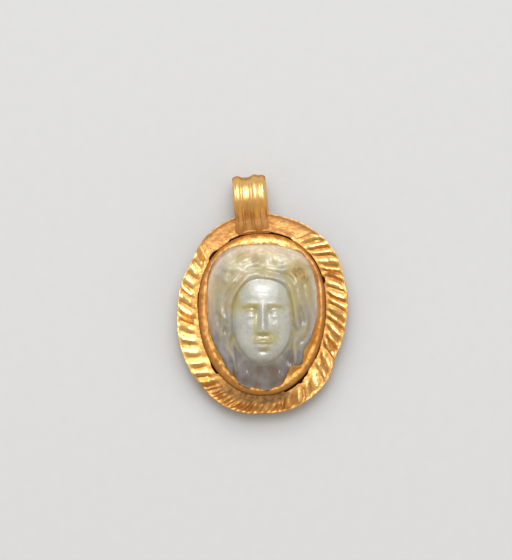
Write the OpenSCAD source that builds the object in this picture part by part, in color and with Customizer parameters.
// Agate cameo pendant, lying on its back with the carved face up.
// A carved oval stone sits in a gold collet, inside a hand-fluted gold border with a ribbed bail.
// +Z points out of the carved face and +Y towards the bail.
// The origin is on the back plane, under the middle of the stone.

/* [Stone] */
// Width of the stone
stone_w = 14.6; // [14.2:0.05:14.7]
// Distance from the middle to the stone's lower end
stone_low = 9.25; // [9:0.05:9.35]
// Distance from the middle to its upper end
stone_high = 9.1; // [8.9:0.05:9.2]
// Level of the stone's flat edge above the back plane
stone_edge_z = 3.9; // [3.7:0.05:4]
// Height of the carving, as a share of its full height
carving = 1; // [0.6:0.05:1.1]

/* [Collet] */
// Width of the collet's wall
collet_w = 15.9; // [15.8:0.05:16.1]
// Distance from the middle to the wall's lower end
collet_low = 9.95; // [9.9:0.05:10.1]
// Distance from the middle to its upper end
collet_high = 10.25; // [10.1:0.05:10.3]
// Thickness of the back sheet
back_t = 0.4; // [0.25:0.05:0.5]
// Width of the lip that is rubbed over the stone's edge
lip_cover = 0.1; // [0.06:0.01:0.15]
// Height of the lip's crest above the stone's edge
lip_rise = 0.38; // [0.25:0.01:0.5]
// Width of the shoulder that carries the border
shoulder_w = 0.75; // [0.5:0.05:0.9]
// Level of the shoulder
shoulder_z = 2.74; // [2.4:0.02:2.76]

/* [Border] */
// Slit between the collet and the border at the sides
slit_side = 0.16; // [0.1:0.01:0.25]
// Slit between the collet and the border at the top and bottom
slit_end = 0.25; // [0.15:0.01:0.35]
// Thickness of the border's sheet
sheet_t = 0.3; // [0.25:0.01:0.32]
// Level of the middle of the sheet
border_z = 3.2; // [3.18:0.01:3.3]
// Angle by which the flutes at the left turn clockwise on their way out
flute_slant = 9; // [0:0.5:10]
// Height by which the outer edge is turned up
edge_rise = 0.08; // [0:0.01:0.2]

/* [Bail] */
// Width of the bail's strap
bail_w = 4.06; // [3.6:0.02:4.4]
// Radius of the bail's bore
bore_r = 2.1; // [1.9:0.05:2.2]
// Distance of the bore's axis above the stone's middle
bail_y = 14.95; // [14.8:0.05:15.1]
// Sideways place of the bail's middle at the bore
bail_x = -1.66; // [-1.9:0.02:-1.4]
// Level of the bore's axis above the back plane
bail_z = 2.75; // [2.72:0.01:2.8]
// Lean of the bail to the left
bail_lean = 4.4; // [0:0.1:8]

/* [Hidden] */
$fn = 64;

agate = [0.74, 0.76, 0.68];
yellow_gold = [0.87, 0.64, 0.31];
red_gold = [0.80, 0.55, 0.27];

// Clearance round and under the stone
seat_gap = 0.04;
// Cells of the carving across and along the stone
cells_x = 52;
cells_y = 68;
// Stations round the collet
collet_n = 64;
// Stations on one flute
flute_n = 4;
// Stations on the plain stretch under the bail
plain_n = 10;
// Sideways place of the collet against the stone
collet_x = -0.1;
// Level at which both are widest, above the middle
widest_y = 1.2;
// Mean distance of the border's inner edge from the middle of the stone
opening_mean = 9;
// Exponents of the two outlines below that level, 2 being an ellipse, and what is added to each for the
// full shoulders above it
stone_power = 2;
stone_shoulders = 0.7;
collet_power = 2.1;
collet_shoulders = 0.1;

// Face: height of the flesh on the midline, columns y, height
FACE_PLANE = [
    [-6.2, 3.10], [-4.8, 3.30], [-3.4, 3.40], [-2.2, 3.30], [-0.8, 3.25], [0.6, 3.30],
    [1.8, 3.50], [3.2, 3.58], [4.6, 3.40], [6.0, 3.00], [7.5, 2.30]];
// Nose: columns y, height, half width
NOSE = [
    [-2.65, 0.00, 0.38], [-2.40, 0.06, 0.42], [-2.20, 0.42, 0.45], [-1.98, 0.80, 0.48],
    [-1.68, 0.98, 0.48], [-1.30, 0.95, 0.45], [-0.60, 0.80, 0.40], [0.00, 0.66, 0.40],
    [0.70, 0.45, 0.46], [1.30, 0.24, 0.60], [2.00, 0.08, 0.90], [2.80, 0.00, 1.20]];
// Share of the hair's height that is left, by angle from the parting
HAIR_FALL = [[0, 1.00], [60, 0.95], [95, 0.78], [120, 0.55], [150, 0.40], [180, 0.34]];
// Locks of hair, one row each. The angle is counted from the parting, and "out" from the hairline.
// Columns: start angle, start out, end angle, end out, waves, swing, half width, rise
LOCKS = [
    [0, 0.45, 96, 0.60, 1.7, 0.20, 0.82, 0.66],
    [0, 1.70, 108, 1.80, 2.1, 0.28, 0.80, 0.62],
    [34, 2.90, 104, 2.95, 1.6, 0.22, 0.72, 0.48],
    [84, 0.75, 146, 0.80, 1.9, 0.30, 0.76, 0.56],
    [96, 2.05, 142, 1.80, 1.9, 0.30, 0.72, 0.48]];
// Tufts swept back over the locks on both sides, and the knot at the parting.
// Columns: out from the midline, up, tilt, half length, half width, bend, rise
TUFTS = [
    [2.00, 7.15, 24, 1.90, 0.72, 0.08, 0.64],
    [3.45, 6.05, -8, 1.95, 0.74, 0.10, 0.62],
    [4.70, 4.60, -42, 1.70, 0.62, 0.10, 0.44],
    [0.50, 6.90, 48, 0.95, 0.62, 0.00, 0.52]];
// Hanging locks on the ground below the chin.
// Columns: across, top, bottom, half width, rise
PENDENT_LOCKS = [
    [-3.30, -5.90, -7.60, 0.42, 0.50],
    [-2.00, -6.70, -8.00, 0.40, 0.42],
    [2.10, -6.60, -8.00, 0.40, 0.40],
    [3.30, -5.80, -7.50, 0.44, 0.48]];

// Border's outline, columns angle from +X, radius
OUTLINE = [
    [0, 10.60], [24, 11.20], [40, 12.00], [58, 12.50], [78, 12.70], [95, 12.85], [112, 12.68],
    [128, 12.14], [142, 11.25], [158, 10.98], [177, 10.74], [205, 11.12], [232, 11.86], [245, 12.30],
    [258, 12.46], [270, 12.28], [286, 12.30], [304, 11.78], [315, 11.46], [330, 10.50], [345, 10.46],
    [353, 10.44], [360, 10.60]];
// Stretches of the border, hammered by hand: columns start, end, flutes, depth.
// The stretch with no flutes lies plain under the bail.
STRETCHES = [
    [-3, 32, 5, 0.20],
    [32, 72, 7, 0.17],
    [72, 130, 0, 0.00],
    [130, 184, 7, 0.19],
    [184, 239, 7, 0.25],
    [239, 287, 16, 0.10],
    [287, 357, 9, 0.21]];
// Share of the flutes' slant, by angle
SLANT = [
    [-3, 0.90], [20, 1.15], [68, 1.15], [90, 0.50], [150, 0.35], [172, 0.80],
    [190, 1.00], [235, 1.00], [262, 1.00], [291, 0.50], [335, 0.80], [357, 0.90]];
// Border across its width: columns share of the width, share of the flutes' depth, rise of the edge
BORDER_ACROSS = [
    [0.00, 0.25, 0.0],
    [0.09, 1.00, 0.0],
    [0.50, 1.00, 0.0],
    [0.88, 0.90, 0.4],
    [1.00, 0.15, 1.0]];

// Collet's section from the floor inside, over the lip, to the underside.
// Columns: share of the way from the stone to the collet's wall, width added, level
COLLET_SECTION = [
    [0.00, seat_gap, back_t],
    [0.00, seat_gap, stone_edge_z + seat_gap],
    [0.00, -lip_cover, stone_edge_z + seat_gap],
    [0.00, -lip_cover, stone_edge_z + 0.5 * lip_rise],
    [0.00, 0.02, stone_edge_z + lip_rise],
    [0.35, 0.00, stone_edge_z + 0.85 * lip_rise],
    [1.00, -0.04, border_z + 0.30],
    [1.00, 0.00, border_z],
    [1.00, 0.00, shoulder_z],
    [1.00, shoulder_w, shoulder_z],
    [1.00, shoulder_w, shoulder_z - 0.38],
    [1.00, 0.25, shoulder_z - 0.65],
    [1.00, 0.05, 0.25],
    [1.00, -0.15, 0.00]];

// Bail's ribbed strap: columns share of the width from the left, thickness
RIBS = [
    [0.00, 0.26], [0.05, 0.42], [0.16, 0.54], [0.28, 0.40], [0.39, 0.28], [0.53, 0.42],
    [0.68, 0.60], [0.76, 0.46], [0.81, 0.38], [0.87, 0.44], [0.93, 0.47], [1.00, 0.26]];
// Level of the sheet's middle above the bore's axis
sheet_up = border_z - bail_z;
// Feet of the strap, which leave the loop and lie on the border's front and under its back.
// Columns: down from the bore's axis, out from it, tilt, share of the thickness, share of the width,
// shift to the right
FRONT_FOOT = [
    [1.28, 1.77, 35, 0.30, 0.97, 0.00],
    [1.83, 1.17, 55, 0.80, 0.97, 0.00],
    [2.15, 0.74, 48, 1.15, 0.99, 0.00],
    [2.65, sheet_up - 0.04, 26, 1.40, 1.00, 0.00],
    [3.30, sheet_up - 0.06, 8, 1.05, 1.03, 0.02],
    [4.40, sheet_up - 0.06, 0, 0.45, 1.12, 0.06]];
REAR_FOOT = [
    [1.28, 1.77, 35, 0.30, 0.97, 0.00],
    [1.83, 1.17, 55, 0.80, 0.97, 0.00],
    [2.15, 0.50, 56, 1.05, 0.94, 0.12],
    [2.65, 0.04 - sheet_up, 40, 1.20, 0.97, 0.25],
    [3.60, 0.04 - sheet_up, 0, 0.75, 1.00, 0.30]];
// Solder between the loop and the border's edge: nearest and furthest from the bore's axis
solder_near = 2.15;
solder_far = 2.72;
// Level of the solder's middle above the bore's axis, its height and its distance from the strap's sides
solder_z = 0.28;
solder_t = 0.8;
solder_inset = 0.12;
// Sides of the loop's faceted skin, and what is left inside it for the drill
loop_n = 44;
bore_allowance = 0.1;

function sq(v) = v * v;
function clamp(v, low, high) = min(max(v, low), high);
function gauss(t, w) = exp(-sq(t / w));

// Smooth step from 0 at a to 1 at b
function fade(a, b, t) = let (s = clamp((t - a) / (b - a), 0, 1)) s * s * (3 - 2 * s);

// Larger of two heights, with the crease between them rounded over a width k
function join(a, b, k) = let (h = max(k - abs(a - b), 0) / k) max(a, b) + h * h * k / 4;

// Rounded hump, 1 at its middle, tilted in the plane
function hump(x, y, cx, cy, sx, sy, tilt = 0, p = 2) =
    let (u = (x - cx) * cos(tilt) + (y - cy) * sin(tilt))
    let (v = (y - cy) * cos(tilt) - (x - cx) * sin(tilt))
    exp(-pow(sqrt(sq(u / sx) + sq(v / sy)), p));

// Smooth curve through the rows of a table, read from a column
function row_at(rows, t, i = 0) =
    i >= len(rows) - 2 || t < rows[i + 1][0] ? i : row_at(rows, t, i + 1);
function curve(rows, t, column = 1) =
    let (i = row_at(rows, t))
    let (before = rows[max(i - 1, 0)], from = rows[i])
    let (to = rows[i + 1], after = rows[min(i + 2, len(rows) - 1)])
    let (h = to[0] - from[0], s = clamp((t - from[0]) / h, 0, 1))
    let (m0 = (to[column] - before[column]) / (to[0] - before[0]) * h)
    let (m1 = (after[column] - from[column]) / (after[0] - from[0]) * h)
    (2 * s^3 - 3 * s^2 + 1) * from[column] + (s^3 - 2 * s^2 + s) * m0
        + (3 * s^2 - 2 * s^3) * to[column] + (s^3 - s^2) * m1;

// Head: flesh without features, an oval that falls away to its edge
function flesh(ax, y) =
    let (p = 2.4 - 0.35 * fade(0.9, -1.5, y))
    let (t = pow(pow(ax / 3.95, p) + pow(abs(y - 0.5) / (y > 0.5 ? 7 : 6.45), p), 1 / p))
    let (edge = 2.6 + 1.2 * fade(-1.5, -5, y))
    let (drop = 1 - pow(max(1 - pow(min(t, 1), edge), 0), 0.62))
    curve(FACE_PLANE, y) - 2 * drop - 4 * max(t - 1, 0);

// Brow, socket and cheek of one side
function brow_and_cheek(ax, y) =
    let (arch = 1.08 + 0.3 * sin(clamp((ax - 0.3) / 2.5, 0, 1) * 165))
    0.13 * gauss(y - arch - 0.12, 0.4) * fade(0.2, 1, ax) * fade(3.3, 2.2, ax)
        - 0.38 * hump(ax, y, 1.58, 0.4, 1.02, 0.64, -3, 2.8)
        - 0.3 * hump(ax, y, 0.72, 0.52, 0.36, 0.5)
        + 0.26 * hump(ax, y, 2, -1.25, 1.2, 1.15)
        - 0.12 * hump(ax, y, 3.2, 1.7, 0.6, 1);

// Eyeball, its opening and the two lids
function eye(ax, y) =
    let (u = (ax - 1.6) / 0.95, v = y - 0.28 + 0.04 * u)
    let (cup = max(1 - u * u, 0), inside = fade(1.12, 0.85, abs(u)))
    let (upper = 0.42 * pow(cup, 0.8), lower = -0.27 * cup)
    let (opening = fade(-0.07, 0.07, v - lower) * fade(-0.07, 0.07, upper - v) * inside)
    0.44 * exp(-pow(sq(u) + sq((v - 0.05) / 0.62), 1.4))
        + opening * (0.12 * exp(-pow(sq((ax - 1.6) / 0.62) + sq(v / 0.42), 1.5)) - 0.11)
        + inside * (0.09 * gauss(v - upper - 0.09, 0.13) + 0.05 * gauss(v - lower + 0.06, 0.12));

function nose(ax, y) =
    curve(NOSE, y, 1) * exp(-pow(ax / curve(NOSE, y, 2), 2.4))
        + 0.36 * hump(ax, y, 0.53, -1.98, 0.26, 0.28, 0, 2.4);

function mouth_and_chin(ax, y) =
    0.24 * hump(ax, y, 0, -3.35, 1.3, 0.95)
        + 0.22 * hump(ax, y, 0.28, -3.18, 0.6, 0.23, -12, 2.6)
        + 0.28 * hump(ax, y, 0, -3.82, 0.62, 0.3, 0, 2.6)
        - 0.22 * max(1 - sq(ax / 1.12), 0) * gauss(y + 3.47, 0.12)
        - 0.13 * hump(ax, y, 1.05, -3.46, 0.24, 0.22)
        - 0.2 * hump(ax, y, 0, -4.38, 0.8, 0.3)
        + 0.36 * hump(ax, y, 0, -5.1, 1, 0.62);

function face(ax, y) =
    flesh(ax, y) + brow_and_cheek(ax, y) + eye(ax, y) + nose(ax, y) + mouth_and_chin(ax, y);

// Hairline's distance from the middle of the hair, by angle from the parting
function hairline(angle) =
    let (side = pow(sin(angle) / 4.5, 2.5))
    let (along = pow(abs(cos(angle)) / (angle < 90 ? 5.25 : 7.8), 2.5))
    pow(side + along, -1 / 2.5);

// Height of one lock over the hair's ground
function lock_height(row, angle, reach, out, phase) =
    let (s = clamp((angle - row[0]) / (row[2] - row[0]), 0, 1))
    let (wave = row[5] * sin(360 * (row[4] * s + phase + 0.013 * row[0])))
    let (path = row[1] + (row[3] - row[1]) * s + wave)
    let (past = max(angle - row[2], row[0] - angle, 0) * reach * PI / 198)
    let (half_w = row[6] * (1 - 0.4 * fade(0.7, 1, s)))
    let (q = sq((out - path) / half_w) + sq(past / 0.6))
    row[7] * pow(max(1 - q, 0), 0.7) - 0.3;

function tuft_height(row, ax, y) =
    let (dx = ax - row[0], dy = y - row[1])
    let (u = dx * cos(row[2]) - dy * sin(row[2]))
    let (v = dx * sin(row[2]) + dy * cos(row[2]) + row[5] * sq(u))
    row[6] * max(1 - sq(u / row[3]) - sq(v / row[4]), -1);

function pendent_height(row, x, y) =
    let (mid = (row[1] + row[2]) / 2, half = (row[1] - row[2]) / 2)
    row[4] * max(1 - sq((x - row[0]) / row[3]) - sq((y - mid) / half), -1);

// Locks joined onto the hair one after another
function comb(z, base, angle, reach, out, phase, i = 0) =
    i == len(LOCKS) ? z
        : comb(join(z, base + lock_height(LOCKS[i], angle, reach, out, phase), 0.3),
               base, angle, reach, out, phase, i + 1);
function pin_up(z, base, ax, y, i = 0) =
    i == len(TUFTS) ? z
        : pin_up(join(z, base + tuft_height(TUFTS[i], ax, y), 0.25), base, ax, y, i + 1);
function let_down(z, base, x, y, i = 0) =
    i == len(PENDENT_LOCKS) ? z
        : let_down(join(z, base + pendent_height(PENDENT_LOCKS[i], x, y), 0.2), base, x, y, i + 1);

function hair(x, y, rim) =
    let (ax = abs(x), angle = atan2(ax * 1.2, y + 0.6), reach = norm([ax * 1.2, y + 0.6]))
    let (out = reach - hairline(angle), phase = x < 0 ? 0 : 0.5)
    let (dome = pow(max(1 - pow(rim, 2.4), 0), 0.8))
    let (base = 3.4 * dome * curve(HAIR_FALL, angle))
    let (combed = comb(base - 0.3, base, angle, reach, out, phase))
    let (open = combed - 3.2 * fade(0.1, -0.5, out) * fade(150, 128, angle))
    let (parting = 0.2 * gauss(x, 0.15) * fade(4.2, 5, y) * fade(8.2, 7.2, y))
    pin_up(open, base, ax, y) - parting;

// Carved height above the stone's flat edge; rim is 1 at the edge of the stone
function carved(x, y, rim) =
    let (ground = 0.95 * (1 - pow(min(rim, 1), 3)))
    let (head = join(face(abs(x), y), hair(x, y, rim), 0.4))
    let (lower = let_down(ground, ground, x, y))
    carving * join(head, lower, 0.4) * fade(0.975, 0.9, rim);

// Place on a round disc of a square grid's point, u and v from -1 to 1, so that its cells stay even
function on_disc(u, v) = [u * sqrt(1 - v * v / 2), v * sqrt(1 - u * u / 2)];

// Factor from an ellipse to an outline with that exponent below and fuller shoulders above
function swell(way, power, shoulders) =
    let (n = power + shoulders * fade(-0.2, 0.4, way[1] / norm(way)))
    norm(way) / pow(pow(abs(way[0]), n) + pow(abs(way[1]), n), 1 / n);

// Place of a point of the unit disc on a swollen oval with that width, lower end and upper end
function on_oval(p, width, low, high, full) =
    [width / 2 * p[0] * full, widest_y + (p[1] < 0 ? low + widest_y : high - widest_y) * p[1] * full];

// Place on the stone of a point of the unit disc
function on_stone(p) =
    on_oval(p, stone_w, stone_low, stone_high, norm(p) == 0 ? 1 : swell(p, stone_power, stone_shoulders));

// Carved stone: a grid of facets on top, an upright edge and a flat underside
module cameo() {
    top = [for (j = [0 : cells_y], i = [0 : cells_x])
        let (q = on_disc(2 * i / cells_x - 1, 2 * j / cells_y - 1), p = on_stone(q))
        [p[0], p[1], stone_edge_z + carved(p[0], p[1], norm(q))]];
    row = cells_x + 1;
    // Edge of the grid, once round, counterclockwise
    edge = concat(
        [for (i = [0 : cells_x - 1]) i],
        [for (j = [0 : cells_y - 1]) j * row + cells_x],
        [for (i = [cells_x : -1 : 1]) cells_y * row + i],
        [for (j = [cells_y : -1 : 1]) j * row]);
    n = len(edge);
    first = len(top);
    low = [for (k = edge) [top[k][0], top[k][1], back_t + seat_gap]];
    cells = [for (j = [0 : cells_y - 1], i = [0 : cells_x - 1])
        let (a = j * row + i, b = a + 1, c = a + row, d = c + 1)
        each (i < cells_x / 2) == (j < cells_y / 2)
            ? [[a, d, b], [a, c, d]]
            : [[a, c, b], [b, c, d]]];
    wall = [for (k = [0 : n - 1])
        let (m = (k + 1) % n)
        each [[edge[k], edge[m], first + k], [edge[m], first + m, first + k]]];
    under = [for (k = [0 : n - 1]) [first + k, first + (k + 1) % n, first + n]];
    color(agate)
        polyhedron(points = concat(top, low, [[0, 0, back_t + seat_gap]]),
                   faces = concat(cells, wall, under));
}

// Closed skin over rings of n points each, from one middle point to another
module ringed_solid(rings, start, finish) {
    n = len(rings[0]);
    count = len(rings);
    points = concat([for (ring = rings) each ring], [start, finish]);
    skin = [for (k = [0 : count - 2], i = [0 : n - 1])
        let (m = (i + 1) % n, a = k * n + i, b = k * n + m, c = a + n, d = b + n)
        each [[a, b, d], [a, d, c]]];
    start_cap = [for (i = [0 : n - 1]) [count * n, (i + 1) % n, i]];
    end_cap = [for (i = [0 : n - 1])
        [count * n + 1, (count - 1) * n + i, (count - 1) * n + (i + 1) % n]];
    polyhedron(points = points, faces = concat(skin, start_cap, end_cap));
}

// Place on an oval between the stone's outline and the collet's wall
function oval_at(share, added, angle) =
    let (way = [cos(angle), sin(angle)], inner = on_stone(way))
    let (full = swell(way, collet_power, collet_shoulders))
    let (outer = [collet_x, 0] + on_oval(way, collet_w, collet_low, collet_high, full))
    inner * (1 - share) + outer * share + added * way;

// Collet: back sheet, wall, shoulder for the border and the lip over the stone
module bezel() {
    rings = [for (section = COLLET_SECTION)
        [for (i = [0 : collet_n - 1])
            let (p = oval_at(section[0], section[1], 360 * i / collet_n))
            [p[0], p[1], section[2]]]];
    color(yellow_gold)
        ringed_solid(rings, [0, 0, back_t], [0, 0, 0]);
}

// Stations round the border: angle and depth, with a crease at each flute's two sides
function stations() = [for (s = STRETCHES)
    let (n = s[2] == 0 ? plain_n : s[2] * flute_n)
    for (i = [0 : n - 1])
        let (rib = s[2] == 0 ? 0 : 2 * sin(180 * (i % flute_n) / flute_n) - 1)
        [s[0] + (s[1] - s[0]) * i / n, s[3] * rib]];

// Point of the border's inner edge in a direction from the middle of the stone
function opening_at(angle) =
    let (aim = opening_mean * [cos(angle), sin(angle)] - [collet_x, widest_y])
    let (end = slit_end + (aim[1] < 0 ? collet_low + widest_y : collet_high - widest_y))
    let (way = [aim[0] / (collet_w / 2 + slit_side), aim[1] / end])
    [collet_x, widest_y] + aim * swell(way, collet_power, collet_shoulders) / norm(way);
// Border's outline, as a distance from the middle of the stone
function outline_r(angle) = curve(OUTLINE, (angle + 360) % 360);

function border_point(station, across, face_sign) =
    let (angle = station[0] - flute_slant * curve(SLANT, station[0]) * across[0])
    let (outer = outline_r(angle) * [cos(angle), sin(angle)])
    let (p = opening_at(angle) * (1 - across[0]) + outer * across[0])
    let (z = border_z + station[1] * across[1] + edge_rise * across[2] + face_sign * sheet_t / 2)
    [p[0], p[1], z];

// Fluted sheet with its opening, a closed ring of facets
module fluted_sheet() {
    around = stations();
    n = len(around);
    last = len(BORDER_ACROSS) - 1;
    loop = concat(
        [for (k = [0 : last]) [BORDER_ACROSS[k], 1]],
        [for (k = [last : -1 : 0]) [BORDER_ACROSS[k], -1]]);
    count = len(loop);
    points = [for (side = loop, station = around) border_point(station, side[0], side[1])];
    skin = [for (k = [0 : count - 1], i = [0 : n - 1])
        let (m = (i + 1) % n, next = (k + 1) % count)
        let (a = k * n + i, b = k * n + m, c = next * n + i, d = next * n + m)
        each [[a, b, d], [a, d, c]]];
    polyhedron(points = points, faces = skin);
}

// Strap's cross section, its inner side on the X axis and the ribs up
module strap_section(allowance) {
    ribs = [for (rib = RIBS) [bail_w * (rib[0] - 0.5), rib[1] + allowance]];
    polygon(concat([[-bail_w / 2, 0]], ribs, [[bail_w / 2, 0]]));
}

// Closed skin over sections of n points each, its two ends flat
module sectioned_solid(sections) {
    n = len(sections[0]);
    count = len(sections);
    skin = [for (k = [0 : count - 2], i = [0 : n - 1])
        let (m = (i + 1) % n, a = k * n + i, b = k * n + m, c = a + n, d = b + n)
        each [[a, b, d], [a, d, c]]];
    near_end = [for (i = [n - 1 : -1 : 0]) i];
    far_end = [for (i = [0 : n - 1]) (count - 1) * n + i];
    polyhedron(points = [for (section = sections) each section],
               faces = concat(skin, [near_end, far_end]));
}

// Section of a foot across the strap: its base first, then the ribs from left to right
function foot_section(row) =
    let (half = bail_w / 2 * row[4])
    let (skin = [for (rib = RIBS)
        let (t = rib[1] * row[3])
        [2 * half * (rib[0] - 0.5) + row[5], -row[0] - t * sin(row[2]), row[1] + t * cos(row[2])]])
    concat([[row[5] + half, -row[0], row[1]], [row[5] - half, -row[0], row[1]]], skin);

// Moves a shape from the bore's own place, with its axis on X, to the bail's
module at_bail() {
    translate([bail_x, bail_y, bail_z])
        rotate([0, 0, bail_lean])
            children();
}

// Ribbed loop and its two feet, with the solder between them and the border's edge
module strap() {
    rotate([0, 90, 0])
        rotate_extrude($fn = loop_n)
            translate([bore_r - bore_allowance, 0])
                mirror([1, -1, 0])
                    strap_section(bore_allowance);
    sectioned_solid([for (row = FRONT_FOOT) foot_section(row)]);
    mirror([0, 0, 1])
        sectioned_solid([for (row = REAR_FOOT) foot_section(row)]);
    translate([0, -(solder_near + solder_far) / 2, solder_z])
        cube([bail_w - 2 * solder_inset, solder_far - solder_near, solder_t], center = true);
}

// Border and bail, soldered into one closed skin, with the bore drilled true
module border_with_bail() {
    color(red_gold)
        difference() {
            // Zero keeps every size as it is
            resize([0, 0, 0])
                union() {
                    fluted_sheet();
                    at_bail() strap();
                }
            at_bail()
                rotate([0, 90, 0])
                    cylinder(r = bore_r, h = bail_w + 2, center = true);
        }
}

cameo();
bezel();
border_with_bail();
